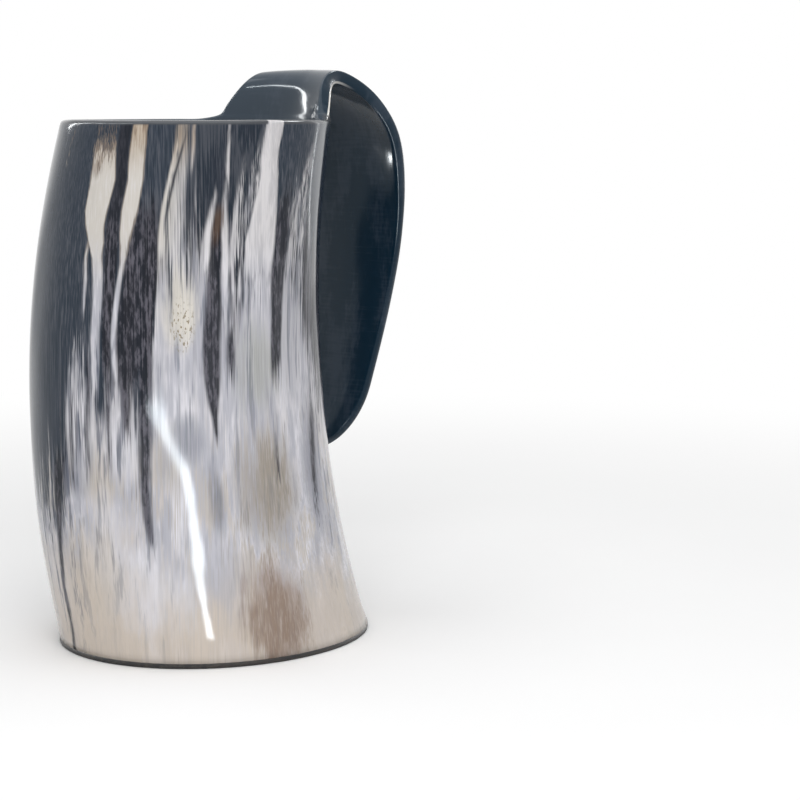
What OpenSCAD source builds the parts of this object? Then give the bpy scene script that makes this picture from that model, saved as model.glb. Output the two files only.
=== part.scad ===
// Horn tankard: one length of cattle horn whose own tongue is bent over into a handle, closed at the
// wide end by a glued base disc and sealed inside with a dark coat.
// Millimetres. +Z is up, the handle points along +X, and the origin is the middle of the foot.

/* [Horn] */
// Height of the rim above the foot
rim_h = 160; // [150:1:170]
// Mean outer radius at the foot
foot_r = 48; // [46:0.5:49]
// Mean outer radius a third of the way up
lower_r = 45.6; // [44:0.2:47]
// Mean outer radius two thirds of the way up
upper_r = 43.4; // [42:0.2:45]
// Outer radius at the rim
rim_r = 41.1; // [39.5:0.2:43]
// How far the middle of the horn bows away from the handle
bow = 12.5; // [6:0.5:14]
// How far the rim's centre stands back from the foot's centre
lean = 6; // [2:0.5:8]
// Share by which the foot is longer along X, and shorter along Y, than its mean radius
foot_oval = 0.054; // [0:0.002:0.06]
// Wall thickness at the foot
foot_wall = 3.6; // [3.2:0.1:4.2]
// Wall thickness at the rim
rim_wall = 4.6; // [4:0.1:5.2]
// Height of the rounded lip above the last full-thickness row of the wall
lip = 2; // [1.5:0.1:2.2]

/* [Handle bends] */
// Outward slope of the tongue where it leaves the rim, in degrees from upright
root_slope = 15; // [8:1:18]
// Turn of the sharp bend over the rim, in degrees
crest_turn = 82; // [76:1:88]
// Distance along the tongue where the sharp bend begins
crest_from = 8; // [6:0.5:9]
// Distance along the tongue where the sharp bend ends
crest_to = 24; // [22:0.5:26]
// Distance along the tongue where the wide shoulder bend begins
shoulder_from = 12.5; // [11:0.5:16]
// Distance along the tongue where the shoulder bend ends and the leg hangs plumb
shoulder_to = 64; // [58:1:70]
// Inward turn of the leg from the shoulder to its free end, in degrees
leg_turn = 28; // [18:1:30]
// Length of the tongue from the rim to its free end
tongue_len = 155; // [150:1:160]

/* [Handle section] */
// Half width of the tongue just above the fillet at its root
base_half = 24.5; // [23:0.5:26]
// Half width at the neck, where the tongue is sharply bent
neck_half = 16; // [13:0.5:17]
// Half width at the palm, below the shoulder
palm_half = 22; // [18:0.5:23]
// Half width where the rounded end begins
end_half = 15.8; // [14:0.1:17]
// Length of the rounded end
tip_len = 21; // [18:1:24]
// Radius to which the neck's plan is curved, as the wall is
neck_curve_r = 48; // [42:1:80]
// Radius to which the leg's edges flare away from the wall
flare_r = 110; // [90:5:300]
// Radius of the dome across the crest
dome_r = 250; // [200:10:600]
// Thickness of the tongue's free end
tip_wall = 3.6; // [3:0.1:4.4]

/* [Base] */
// Thickness of the visible foot of the base disc
foot_t = 1.5; // [1:0.1:2]
// Height of the plug that stands inside the horn
plug_h = 5; // [4:0.5:6]
// Gap between the plug and the horn, filled with glue
glue_t = 0.4; // [0.3:0.1:0.6]
// Size of the sealing bead in the corner of the floor
bead = 2.5; // [2:0.1:3]

/* [Lining] */
// Thickness of the dark sealing coat
coat_t = 0.4; // [0.3:0.1:0.6]
// Distance below the rim where the coat stops
coat_gap = 8; // [6:1:12]

/* [Hidden] */

// Points round the wall, and the columns on each side of +X that the tongue grows out of
cols = 72;
root_cols = 9;
root_angle = root_cols * 360 / cols;
// Rows of points up the wall between the bead and the coat's edge, steps across the lip and the bead
wall_rows = 9;
lip_steps = 5;
bead_steps = 3;
// Heights that the pieces share
floor_z = foot_t + plug_h;
bead_z = floor_z + bead;
coat_z = rim_h - coat_gap;
rim_z = rim_h - lip;
// Distances along the tongue where its width reaches the neck, the palm and the rounded end
neck_at = 22;
palm_at = 52;
end_at = tongue_len - lip - tip_len;
// Length of the fillet that spreads the tongue's root into the rim, and how sharply it does so
fillet_len = 5;
fillet_power = 2.5;
// Distance over which the dome across the crest dies away, and where the leg's flare is complete
dome_out = 45;
flare_at = tongue_len * 0.6;
// How far before the shoulder's end the leg's inward turn begins, and how far past the tip it would end
leg_lead = 6;
leg_over = 10;
// Step of the bend's sum along the tongue, and of the slopes that give its faces their normals
path_step = 0.5;
probe = 0.2;
// Rows of points along the tongue: in the root's fillet, over the bends, down the leg, round the end
fillet_rows = [0.6, 1.4, 2.6];
bend_row = 4.2;
bend_step = 1.8;
leg_row = 29;
leg_step = 7;
end_step = 13;
end_turn = 78;

function mix(a, b, t) = a + (b - a) * t;
function ease(t) = let (c = min(1, max(0, t))) c * c * (3 - 2 * c);
function span(s, from, to) = ease((s - from) / (to - from));
function unit(v) = v / norm(v);

// The horn's wall: mean radius as a cubic through its four radii, axis as a bowed line
function mean_r(t) =
    foot_r * (1 - 3 * t) * (2 - 3 * t) * (1 - t) / 2
    + lower_r * 9 * t * (2 - 3 * t) * (1 - t) / 2
    + upper_r * 9 * t * (3 * t - 1) * (1 - t) / 2
    + rim_r * t * (3 * t - 1) * (3 * t - 2) / 2;
function axis_x(t) = -lean * t - 4 * bow * t * (1 - t);
function wall_t(z) = mix(foot_wall, rim_wall, z / rim_h);
function wall_point(u, z, depth) =
    let (
        t = z / rim_h,
        r = mean_r(t) * (1 + foot_oval * (1 - t) * cos(2 * u)) - depth
    )
    [axis_x(t) + r * cos(u), r * sin(u), z];
function ring(z, depth) = [for (j = [0 : cols - 1]) wall_point(j * 360 / cols, z, depth)];
function inner_ring(z, depth = 0) = ring(z, wall_t(z) + depth);
function plan(points) = [for (p = points) [p.x, p.y]];
// The plug's seat is cut straight into the horn's end, to the wall's inner outline at half its height
seat = plan(inner_ring(foot_t + plug_h / 2));
plug = plan(inner_ring(foot_t + plug_h / 2, glue_t));
function seat_ring(z) = [for (p = seat) [p.x, p.y, z]];

// The tongue's middle line in the XZ plane, summed from its slope
shoulder_turn = 180 - root_slope - crest_turn;
function slope(s) =
    root_slope
    + crest_turn * span(s, crest_from, crest_to)
    + shoulder_turn * span(s, shoulder_from, shoulder_to)
    + leg_turn * span(s, shoulder_to - leg_lead, tongue_len + leg_over);
root_mid_r = mean_r(rim_z / rim_h) - wall_t(rim_z) / 2;
path = [
    for (
        s = 0, p = [axis_x(rim_z / rim_h) + root_mid_r, rim_z];
        s <= tongue_len;
        p = p + path_step * [sin(slope(s + path_step / 2)), cos(slope(s + path_step / 2))],
        s = s + path_step
    ) p
];
function path_at(s) = let (i = floor(s / path_step)) mix(path[i], path[i + 1], s / path_step - i);

// Half width of the tongue without its rounded edge, its cross curve, dome and thickness
root_half = root_mid_r * root_angle * PI / 180;
function half_width(s) =
    mix(base_half, neck_half, span(s, 0, neck_at))
    + (palm_half - neck_half) * span(s, neck_at, palm_at)
    + (end_half - palm_half) * span(s, palm_at, end_at)
    + (root_half + lip - base_half) * pow(max(0, 1 - s / fillet_len), fillet_power)
    - lip;
function cross_curve(s) =
    mix(1 / root_mid_r, 1 / neck_curve_r, span(s, 0, neck_at))
    - (1 / neck_curve_r + 1 / flare_r) * span(s, neck_at, flare_at);
function dome(s) =
    (s < neck_at ? span(s, 0, neck_at) : 1 - span(s, neck_at, neck_at + dome_out)) / dome_r;
function tongue_t(s) = mix(wall_t(rim_z), tip_wall, s / tongue_len);
function tongue_mid(s, v) =
    let (
        p = path_at(s),
        k = cross_curve(s),
        bent = abs(k) > 0.0001,
        y = bent ? sin(k * v * 180 / PI) / k : v,
        sag = bent ? (1 - cos(k * v * 180 / PI)) / k : 0
    )
    [p.x - sag, y, p.y - dome(s) * y * y / 2];
// Point on a face of the tongue: side 1 is the face that was the horn's outside, -1 its inside
function tongue_point(s, v, side) =
    let (
        along = tongue_mid(s + probe, v) - tongue_mid(max(0, s - probe), v),
        across = tongue_mid(s, v + probe) - tongue_mid(s, v - probe)
    )
    tongue_mid(s, v) + side * tongue_t(s) / 2 * unit(cross(across, along));
// Each row along the tongue as [distance, share of the half width]
tongue_rows = concat(
    [for (s = fillet_rows) [s, 1]],
    [for (s = [bend_row : bend_step : leg_row - bend_step]) [s, 1]],
    [for (s = [leg_row : leg_step : end_at - leg_step / 2]) [s, 1]],
    [for (a = [0 : end_step : end_turn]) [end_at + tip_len * sin(a), cos(a)]]
);
function tongue_row(row, side) = [
    for (c = [-root_cols : root_cols])
        tongue_point(row[0], half_width(row[0]) * row[1] * c / root_cols, side)
];

// Triangles between rows of points, named by the index of each row's first point
function quad(a, b, c, d) = [[a, c, b], [a, d, c]];
function band(low, high, n) = [
    for (j = [0 : n - 1])
        let (k = (j + 1) % n)
        each quad(low + j, low + k, high + k, high + j)
];

// Solid made of rings stacked from one to the next, the last joined to the first
module ring_loop(rings) {
    n = len(rings);
    polyhedron(
        points = [for (r = rings) each r],
        faces = [for (i = [0 : n - 1]) each band(i * cols, (i + 1) % n * cols, cols)]
    );
}

// Solid made of rings stacked from one to the next, its two ends closed at a point
module ring_stack(start, rings, end) {
    n = len(rings);
    last = (n - 1) * cols;
    polyhedron(
        points = concat([for (r = rings) each r], [start, end]),
        faces = concat(
            [for (i = [0 : n - 2]) each band(i * cols, (i + 1) * cols, cols)],
            [for (j = [0 : cols - 1]) [n * cols, j, (j + 1) % cols]],
            [for (j = [0 : cols - 1]) [n * cols + 1, last + (j + 1) % cols, last + j]]
        )
    );
}

// The horn: wall, tongue bent into a handle, and one rounded lip round the rim and the tongue's edge
wall_z = concat(
    [foot_t, floor_z],
    [for (i = [0 : wall_rows]) mix(bead_z, coat_z, i / wall_rows)],
    [rim_z]
);
top_row = len(wall_z) - 1;
tongue_n = len(tongue_rows);
tongue_cols = 2 * root_cols + 1;
inner_at = len(wall_z) * cols;
tongue_at = 2 * inner_at;
tongue_inner_at = tongue_at + tongue_n * tongue_cols;
lip_at = tongue_inner_at + tongue_n * tongue_cols;
function wall_i(k, j, inside) = (inside ? inner_at : 0) + k * cols + (j + cols) % cols;
function tongue_i(r, c, inside) =
    r == 0
    ? wall_i(top_row, c - root_cols, inside)
    : (inside ? tongue_inner_at : tongue_at) + (r - 1) * tongue_cols + c;
// The free edge: back round the rim, up the tongue's -Y side, across its end and down its +Y side
function edge(inside) = concat(
    [for (j = [root_cols : cols - root_cols - 1]) wall_i(top_row, j, inside)],
    [for (r = [0 : tongue_n]) tongue_i(r, 0, inside)],
    [for (c = [1 : tongue_cols - 2]) tongue_i(tongue_n, c, inside)],
    [for (r = [tongue_n : -1 : 1]) tongue_i(r, tongue_cols - 1, inside)]
);
edge_out = edge(false);
edge_in = edge(true);
edge_n = len(edge_out);
face_points = concat(
    [for (z = wall_z) each ring(z, 0)],
    [for (z = wall_z) each (z > floor_z ? inner_ring(z) : seat_ring(z))],
    [for (row = tongue_rows) each tongue_row(row, 1)],
    [for (row = tongue_rows) each tongue_row(row, -1)]
);
function edge_mid(i) =
    let (k = (i + edge_n) % edge_n)
    (face_points[edge_out[k]] + face_points[edge_in[k]]) / 2;
function lip_point(i, m) =
    let (
        out = (face_points[edge_out[i]] - face_points[edge_in[i]]) / 2,
        away = unit(cross(out, edge_mid(i + 1) - edge_mid(i - 1))),
        a = 180 * m / lip_steps
    )
    edge_mid(i) + out * cos(a) + lip * away * sin(a);
function lip_i(i, m) =
    let (k = i % edge_n)
    m == 0 ? edge_out[k] : m == lip_steps ? edge_in[k] : lip_at + (m - 1) * edge_n + k;

module horn_shell() {
    lip_points = [for (m = [1 : lip_steps - 1], i = [0 : edge_n - 1]) lip_point(i, m)];
    wall_out = [
        for (k = [0 : top_row - 1])
            each band(wall_i(k, 0, false), wall_i(k + 1, 0, false), cols)
    ];
    wall_in = [
        for (k = [0 : top_row - 1])
            each band(wall_i(k, 0, true), wall_i(k + 1, 0, true), cols)
    ];
    foot = band(wall_i(0, 0, true), wall_i(0, 0, false), cols);
    tongue_out = [
        for (r = [0 : tongue_n - 1], c = [0 : tongue_cols - 2])
            each quad(
                tongue_i(r, c, false), tongue_i(r, c + 1, false),
                tongue_i(r + 1, c + 1, false), tongue_i(r + 1, c, false)
            )
    ];
    tongue_in = [
        for (r = [0 : tongue_n - 1], c = [0 : tongue_cols - 2])
            each quad(
                tongue_i(r, c, true), tongue_i(r, c + 1, true),
                tongue_i(r + 1, c + 1, true), tongue_i(r + 1, c, true)
            )
    ];
    lips = [
        for (i = [0 : edge_n - 1], m = [0 : lip_steps - 1])
            each quad(lip_i(i, m), lip_i(i + 1, m), lip_i(i + 1, m + 1), lip_i(i, m + 1))
    ];
    color([0.24, 0.24, 0.27])
        polyhedron(
            points = concat(face_points, lip_points),
            faces = concat(
                wall_out, foot, tongue_out, lips,
                [for (f = concat(wall_in, tongue_in)) [f[0], f[2], f[1]]]
            )
        );
}

// The base: a visible foot under the horn's end grain, and a plug inside it
module base_disc() {
    color([0.08, 0.08, 0.09]) {
        linear_extrude(foot_t)
            polygon(plan(ring(foot_t, 0)));
        translate([0, 0, foot_t])
            linear_extrude(plug_h)
                polygon(plug);
    }
}

// Glue between the plug's upright side and the horn
module glue_ring() {
    color([0.55, 0.45, 0.25])
        translate([0, 0, foot_t])
            linear_extrude(plug_h)
                difference() {
                    polygon(seat);
                    polygon(plug);
                }
}

// Hollow fillet of sealant in the corner between the floor and the wall
function bead_ring(a, depth) =
    inner_ring(floor_z + bead * (1 - sin(a)), bead * (1 - cos(a)) + depth);
bead_angles = [for (i = [0 : bead_steps]) 90 * i / bead_steps];
module seal_bead() {
    color([0.1, 0.1, 0.11])
        ring_loop(concat([seat_ring(floor_z)], [for (a = bead_angles) bead_ring(a, 0)]));
}

// Dark coat over the floor, the bead and the wall: up its outer face, then down its inner face
module inner_coat() {
    coat_rows = [for (i = [1 : wall_rows]) mix(bead_z, coat_z, i / wall_rows)];
    outside = concat(
        [for (i = [bead_steps : -1 : 0]) bead_ring(bead_angles[i], 0)],
        [for (z = coat_rows) inner_ring(z)]
    );
    inside = concat(
        [for (i = [wall_rows - 1 : -1 : 0]) inner_ring(coat_rows[i], coat_t)],
        [for (a = bead_angles) [for (p = bead_ring(a, coat_t)) p + [0, 0, coat_t * sin(a)]]]
    );
    floor_mid = [axis_x(floor_z / rim_h), 0, floor_z];
    color([0.03, 0.03, 0.035])
        ring_stack(floor_mid, concat(outside, inside), floor_mid + [0, 0, coat_t]);
}

horn_shell();
base_disc();
glue_ring();
seal_bead();
inner_coat();
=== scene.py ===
"""Looks of a horn tankard: one bowed length of cattle horn whose own tongue is bent over into a handle.

Metres, in the frame of the CAD model: +Z up, the handle along +X, the origin in the middle of the foot.
The horn is a Geometry Nodes tree that follows the CAD model's formulas. Its grain is laid out in the
coordinates of the straight horn, before it was bowed and its tongue was bent.
"""

import math
from types import SimpleNamespace

import bpy
from mathutils import Matrix, Vector


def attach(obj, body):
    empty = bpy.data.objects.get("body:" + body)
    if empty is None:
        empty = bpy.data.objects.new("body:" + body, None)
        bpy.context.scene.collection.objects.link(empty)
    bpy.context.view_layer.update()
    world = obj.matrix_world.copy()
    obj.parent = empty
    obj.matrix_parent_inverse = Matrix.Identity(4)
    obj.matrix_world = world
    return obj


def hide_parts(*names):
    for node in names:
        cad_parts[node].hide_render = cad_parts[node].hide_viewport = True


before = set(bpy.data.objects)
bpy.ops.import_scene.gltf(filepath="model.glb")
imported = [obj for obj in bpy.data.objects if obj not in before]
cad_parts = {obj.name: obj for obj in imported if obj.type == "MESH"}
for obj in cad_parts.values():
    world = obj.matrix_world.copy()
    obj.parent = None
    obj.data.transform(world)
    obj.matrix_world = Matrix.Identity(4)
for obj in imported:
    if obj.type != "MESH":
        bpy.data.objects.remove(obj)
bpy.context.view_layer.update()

MM = 0.001
DEGREE = math.pi / 180

# Sizes of the horn, in metres and degrees: these become the named inputs of its tree
HORN = {
    "rim_height": 160 * MM,
    "foot_radius": 48 * MM,
    "lower_radius": 45.6 * MM,
    "upper_radius": 43.4 * MM,
    "rim_radius": 41.1 * MM,
    "bow": 12.5 * MM,
    "lean": 6 * MM,
    "foot_oval": 0.054,
    "foot_wall": 3.6 * MM,
    "rim_wall": 4.6 * MM,
    "lip": 2 * MM,
    "foot_height": 1.5 * MM,
    "root_slope": 15 * DEGREE,
    "crest_turn": 82 * DEGREE,
    "crest_from": 8 * MM,
    "crest_to": 24 * MM,
    "shoulder_from": 12.5 * MM,
    "shoulder_to": 64 * MM,
    "leg_turn": 28 * DEGREE,
    "leg_lead": 6 * MM,
    "leg_over": 10 * MM,
    "tongue_length": 155 * MM,
    "root_half": 30.5 * MM,
    "base_half": 24.5 * MM,
    "neck_half": 16 * MM,
    "palm_half": 22 * MM,
    "end_half": 15.8 * MM,
    "end_length": 23 * MM,
    "neck_at": 22 * MM,
    "palm_at": 52 * MM,
    "fillet_length": 5 * MM,
    "neck_curve_radius": 48 * MM,
    "flare_radius": 110 * MM,
    "dome_radius": 250 * MM,
    "dome_out": 45 * MM,
    "tip_wall": 3.6 * MM,
    "unevenness": 0.3 * MM,
    "polish": 0.12 * MM,
    "rim_crease": 0.2,
    "tongue_crease": 0.34,
    "leg_crease": 0.0,
    "leg_from": 30 * MM,
    "leg_to": 50 * MM,
}

# Sizes of the inner pieces and the foot's eased edge
PLUG_HEIGHT = 5 * MM
GLUE = 0.4 * MM
BEAD = 2.5 * MM
COAT = 0.4 * MM
COAT_GAP = 8 * MM
FOOT_EDGE = 0.35 * MM

# Camera: its heading follows the photograph's view of the handle
VIEW_HEADING = 46.5 * DEGREE
CAMERA_BACK = 678.3 * MM
CAMERA_HEIGHT = 162.7 * MM
CAMERA_PAN = 4.89 * DEGREE
CAMERA_PITCH = 7.54 * DEGREE
FOCAL_PIXELS = 2190
IMAGE_PIXELS = 800
SENSOR = 36


class Wire:
    """A socket of a node tree. Operators on wires add Math nodes."""

    def __init__(self, graph, socket):
        self.graph = graph
        self.socket = socket

    def out(self, name):
        return Wire(self.graph, self.socket.node.outputs[name])

    def __add__(self, other):
        return self.graph.math("ADD", self, other)

    def __radd__(self, other):
        return self.graph.math("ADD", other, self)

    def __sub__(self, other):
        return self.graph.math("SUBTRACT", self, other)

    def __rsub__(self, other):
        return self.graph.math("SUBTRACT", other, self)

    def __mul__(self, other):
        return self.graph.math("MULTIPLY", self, other)

    def __rmul__(self, other):
        return self.graph.math("MULTIPLY", other, self)

    def __truediv__(self, other):
        return self.graph.math("DIVIDE", self, other)

    def __rtruediv__(self, other):
        return self.graph.math("DIVIDE", other, self)

    def __pow__(self, other):
        return self.graph.math("POWER", self, other)

    def __neg__(self):
        return self.graph.math("MULTIPLY", self, -1)

    def __abs__(self):
        return self.graph.math("ABSOLUTE", self)


class Graph:
    """A node tree under construction."""

    def __init__(self, tree):
        self.tree = tree

    def add(self, kind, settings=None, sockets=None, out=0):
        node = self.tree.nodes.new(kind)
        for name, value in (settings or {}).items():
            if name == "stops":
                self.set_stops(node.color_ramp, value)
            else:
                setattr(node, name, value)
        for key, value in (sockets or {}).items():
            self.join(value, node.inputs[key])
        return Wire(self, node.outputs[out]) if node.outputs else node

    def join(self, value, socket):
        if isinstance(value, Wire):
            self.tree.links.new(value.socket, socket)
        elif isinstance(value, list):
            for wire in value:
                self.tree.links.new(wire.socket, socket)
        else:
            socket.default_value = value

    @staticmethod
    def set_stops(ramp, stops):
        while len(ramp.elements) < len(stops):
            ramp.elements.new(1)
        for element, (position, colour) in zip(ramp.elements, stops):
            element.position = position
            element.color = colour

    def math(self, operation, *values):
        return self.add("ShaderNodeMath", {"operation": operation}, dict(enumerate(values)))

    def vector(self, operation, *values, out=0):
        return self.add("ShaderNodeVectorMath", {"operation": operation}, dict(enumerate(values)), out)

    def scaled(self, vector, factor):
        return self.add("ShaderNodeVectorMath", {"operation": "SCALE"}, {0: vector, "Scale": factor})

    def xyz(self, x, y, z):
        return self.add("ShaderNodeCombineXYZ", None, {0: x, 1: y, 2: z})

    def parts(self, vector):
        x = self.add("ShaderNodeSeparateXYZ", None, {0: vector})
        return x, x.out("Y"), x.out("Z")

    def span(self, value, low, high, start=0.0, end=1.0):
        """start below low, end above high, and an eased way between them."""
        sockets = {"Value": value, "From Min": low, "From Max": high, "To Min": start, "To Max": end}
        return self.add("ShaderNodeMapRange", {"interpolation_type": "SMOOTHSTEP"}, sockets)

    def noise(self, vector, scale, detail=2.0, roughness=0.5):
        sockets = {"Vector": vector, "Scale": scale, "Detail": detail, "Roughness": roughness}
        return self.add("ShaderNodeTexNoise", None, sockets)

    def blend(self, factor, first, second):
        """Mix of two colours."""
        return self.add("ShaderNodeMix", {"data_type": "RGBA"}, {0: factor, 6: first, 7: second}, 2)

    def bump(self, height, strength, distance):
        return self.add(
            "ShaderNodeBump", None, {"Strength": strength, "Distance": distance, "Height": height}
        )


def sine(value):
    return value.graph.math("SINE", value) if isinstance(value, Wire) else math.sin(value)


def cosine(value):
    return value.graph.math("COSINE", value) if isinstance(value, Wire) else math.cos(value)


# The horn's wall, for numbers and for wires alike
def mean_radius(h, t):
    """Radius at t of the height: a cubic through the radii at the foot, both thirds and the rim."""
    return (
        h.foot_radius * (1 - 3 * t) * (2 - 3 * t) * (1 - t) / 2
        + h.lower_radius * 9 * t * (2 - 3 * t) * (1 - t) / 2
        + h.upper_radius * 9 * t * (3 * t - 1) * (1 - t) / 2
        + h.rim_radius * t * (3 * t - 1) * (3 * t - 2) / 2
    )


def axis_x(h, t):
    """Middle of the bowed and leaning horn at t of the height."""
    return -h.lean * t - 4 * h.bow * t * (1 - t)


def wall_thickness(h, z):
    return h.foot_wall + (h.rim_wall - h.foot_wall) * z / h.rim_height


def wall_plan(h, turn, z, depth):
    """x and y of a point of the wall, depth below its outer face."""
    t = z / h.rim_height
    radius = mean_radius(h, t) * (1 + h.foot_oval * (1 - t) * cosine(2 * turn)) - depth
    return axis_x(h, t) + radius * cosine(turn), radius * sine(turn)


SIZES = SimpleNamespace(**HORN)

# Radius of the straight horn, on which the grain is laid out
STRAIGHT_RADIUS = 45 * MM

# How the sheet is divided, how close the points are that are merged, how close to the foot an edge counts
# as sawn, and how often the shell is subdivided
WALL_COLUMNS = 72
WALL_ROWS = 16
ROOT_COLUMNS = 9
TONGUE_ROWS = 58
PATH_POINTS = 312
ROW_CROWDING = 0.6
FIRST_ROW = 0.001
SEAM_REACH = 0.02 * MM
SHELL_REACH = 0.01 * MM
SAWN_REACH = 0.1 * MM
ROUNDING = 2

# Where the tongue changes from the wall's form to its own
FILLET_POWER = 2.5
TIP_SQUARE = 0.05
FLARE_SHARE = 0.6
LEAVING_LENGTH = 6 * MM
TONGUE_LEAD = 8 * MM

# The hollows of worked horn: their size, how they are drawn out, and where they fade out above the foot
HOLLOW_SIZE = 22 * MM
HOLLOW_STRETCH = (1.0, 1.0, 0.4)
HOLLOW_FADE = 6 * MM


def horn_tree(material):
    """Geometry Nodes tree of the horn: its wall and its bent tongue as one sheet, thickened and rounded."""
    tree = bpy.data.node_groups.new("Horn shell", "GeometryNodeTree")
    for name in HORN:
        tree.interface.new_socket(name, in_out="INPUT", socket_type="NodeSocketFloat")
    tree.interface.new_socket("Geometry", in_out="OUTPUT", socket_type="NodeSocketGeometry")
    g = Graph(tree)
    inputs = g.add("NodeGroupInput")
    h = SimpleNamespace(**{name: inputs.out(name) for name in HORN})

    def named(geometry, name, value, kind="FLOAT", domain="POINT"):
        settings = {"data_type": kind, "domain": domain}
        sockets = {"Geometry": geometry, "Name": name, "Value": value}
        return g.add("GeometryNodeStoreNamedAttribute", settings, sockets)

    def attribute(name, kind="FLOAT"):
        return g.add("GeometryNodeInputNamedAttribute", {"data_type": kind}, {"Name": name})

    def placed(geometry, position):
        return g.add("GeometryNodeSetPosition", None, {"Geometry": geometry, "Position": position})

    def shifted(geometry, offset):
        return g.add("GeometryNodeSetPosition", None, {"Geometry": geometry, "Offset": offset})

    def sheet(columns, rows):
        sockets = {"Size X": 1.0, "Size Y": 1.0, "Vertices X": columns, "Vertices Y": rows}
        return g.add("GeometryNodeMeshGrid", None, sockets)

    grid_x, grid_y, _ = g.parts(g.add("GeometryNodeInputPosition"))
    rim_z = h.rim_height - h.lip

    # Wall: rows up to the lip's foot, then one row at the rim
    row = (grid_y + 0.5) * WALL_ROWS
    below = g.math("MINIMUM", row, WALL_ROWS - 1) / (WALL_ROWS - 1)
    above = g.math("MAXIMUM", row - (WALL_ROWS - 1), 0)
    wall_z = h.foot_height + (rim_z - h.foot_height) * below + h.lip * above
    turn = grid_x * (2 * math.pi)
    thickness = wall_thickness(h, wall_z)
    wall = sheet(WALL_COLUMNS + 1, WALL_ROWS + 1)
    straight = g.xyz(cosine(turn) * STRAIGHT_RADIUS, sine(turn) * STRAIGHT_RADIUS, wall_z)
    wall = named(wall, "straight_horn", straight, "FLOAT_VECTOR")
    wall = named(wall, "wall", thickness)
    wall = placed(wall, g.xyz(*wall_plan(h, turn, wall_z, thickness / 2), wall_z))

    # Middle line of the tongue: steps along its slope, added up
    def slope(s):
        shoulder_turn = math.pi - h.root_slope - h.crest_turn
        return (
            h.root_slope
            + h.crest_turn * g.span(s, h.crest_from, h.crest_to)
            + shoulder_turn * g.span(s, h.shoulder_from, h.shoulder_to)
            + h.leg_turn * g.span(s, h.shoulder_to - h.leg_lead, h.tongue_length + h.leg_over)
        )

    rim_share = rim_z / h.rim_height
    root_radius = mean_radius(h, rim_share) - wall_thickness(h, rim_z) / 2
    step = h.tongue_length / (PATH_POINTS - 2)
    index = g.add("GeometryNodeInputIndex")
    leaving = g.math("MINIMUM", index, 1) * step
    bend = slope((index - 0.5) * step)
    steps = g.xyz(sine(bend) * leaving, 0.0, cosine(bend) * leaving)
    settings = {"data_type": "FLOAT_VECTOR", "domain": "POINT"}
    summed = g.add("GeometryNodeAccumulateField", settings, {0: steps})
    start = g.xyz(axis_x(h, rim_share) + root_radius, 0.0, rim_z)
    line = g.add("GeometryNodeMeshLine", None, {"Count": PATH_POINTS})
    line = placed(line, g.vector("ADD", start, summed))
    path = g.add("GeometryNodeMeshToCurve", None, {"Mesh": line})

    # Tongue: rows close together at the root, the bends and the rounded end
    share = grid_y + 0.5
    crowded = share - ROW_CROWDING * sine(2 * math.pi * share) / (2 * math.pi)
    s = h.lip + (h.tongue_length - h.lip) * crowded
    end_at = h.tongue_length - h.end_length
    into_end = g.math("MAXIMUM", s - end_at, 0) / h.end_length
    fillet = g.math("MAXIMUM", 1 - s / h.fillet_length, 0) ** FILLET_POWER
    half = (
        h.base_half
        + (h.neck_half - h.base_half) * g.span(s, 0.0, h.neck_at)
        + (h.palm_half - h.neck_half) * g.span(s, h.neck_at, h.palm_at)
        + (h.end_half - h.palm_half) * g.span(s, h.palm_at, end_at)
        + (h.root_half + h.lip - h.base_half) * fillet
    )
    rounded = g.math("MAXIMUM", 1 - into_end * into_end, TIP_SQUARE) ** 0.5
    v = half * rounded * (2 * grid_x)
    flare_end = FLARE_SHARE * h.tongue_length
    curve = (
        1 / root_radius
        + (1 / h.neck_curve_radius - 1 / root_radius) * g.span(s, 0.0, h.neck_at)
        - (1 / h.neck_curve_radius + 1 / h.flare_radius) * g.span(s, h.neck_at, flare_end)
    )

    # Reach and sag of that curve as the first terms of their series, which hold where it is flat
    angle = curve * v
    square = angle * angle
    across = v * (1 - square / 6 + square * square / 120)
    sag = curve * v * v * (1 / 2 - square / 24 + square * square / 720)
    crest = g.span(s, 0.0, h.neck_at) * (1 - g.span(s, h.neck_at, h.neck_at + h.dome_out))
    fall = crest * across * across / (2 * h.dome_radius)
    sample = {"mode": "LENGTH", "use_all_curves": True}
    on_path = g.add("GeometryNodeSampleCurve", sample, {"Curves": path, "Length": s}, "Position")
    path_x, _, path_z = g.parts(on_path)
    bent = g.xyz(path_x - sag, across, path_z - fall)
    root_turn = (2 * grid_x) * (ROOT_COLUMNS * 2 * math.pi / WALL_COLUMNS)
    root_depth = wall_thickness(h, h.rim_height) / 2
    root_row = g.xyz(*wall_plan(h, root_turn, h.rim_height, root_depth), h.rim_height)
    is_root = g.math("LESS_THAN", share, FIRST_ROW)
    bent = g.add("GeometryNodeSwitch", {"input_type": "VECTOR"}, {0: is_root, 1: bent, 2: root_row})
    along = g.math("MULTIPLY", v / root_radius, 1 - is_root) + root_turn * is_root
    tongue = sheet(2 * ROOT_COLUMNS + 1, TONGUE_ROWS)
    straight = g.xyz(cosine(along) * STRAIGHT_RADIUS, sine(along) * STRAIGHT_RADIUS, rim_z + s)
    tongue = named(tongue, "straight_horn", straight, "FLOAT_VECTOR")
    tongue_wall = wall_thickness(h, rim_z)
    tongue = named(tongue, "wall", tongue_wall + (h.tip_wall - tongue_wall) * s / h.tongue_length)
    tongue = placed(tongue, bent)

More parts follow.
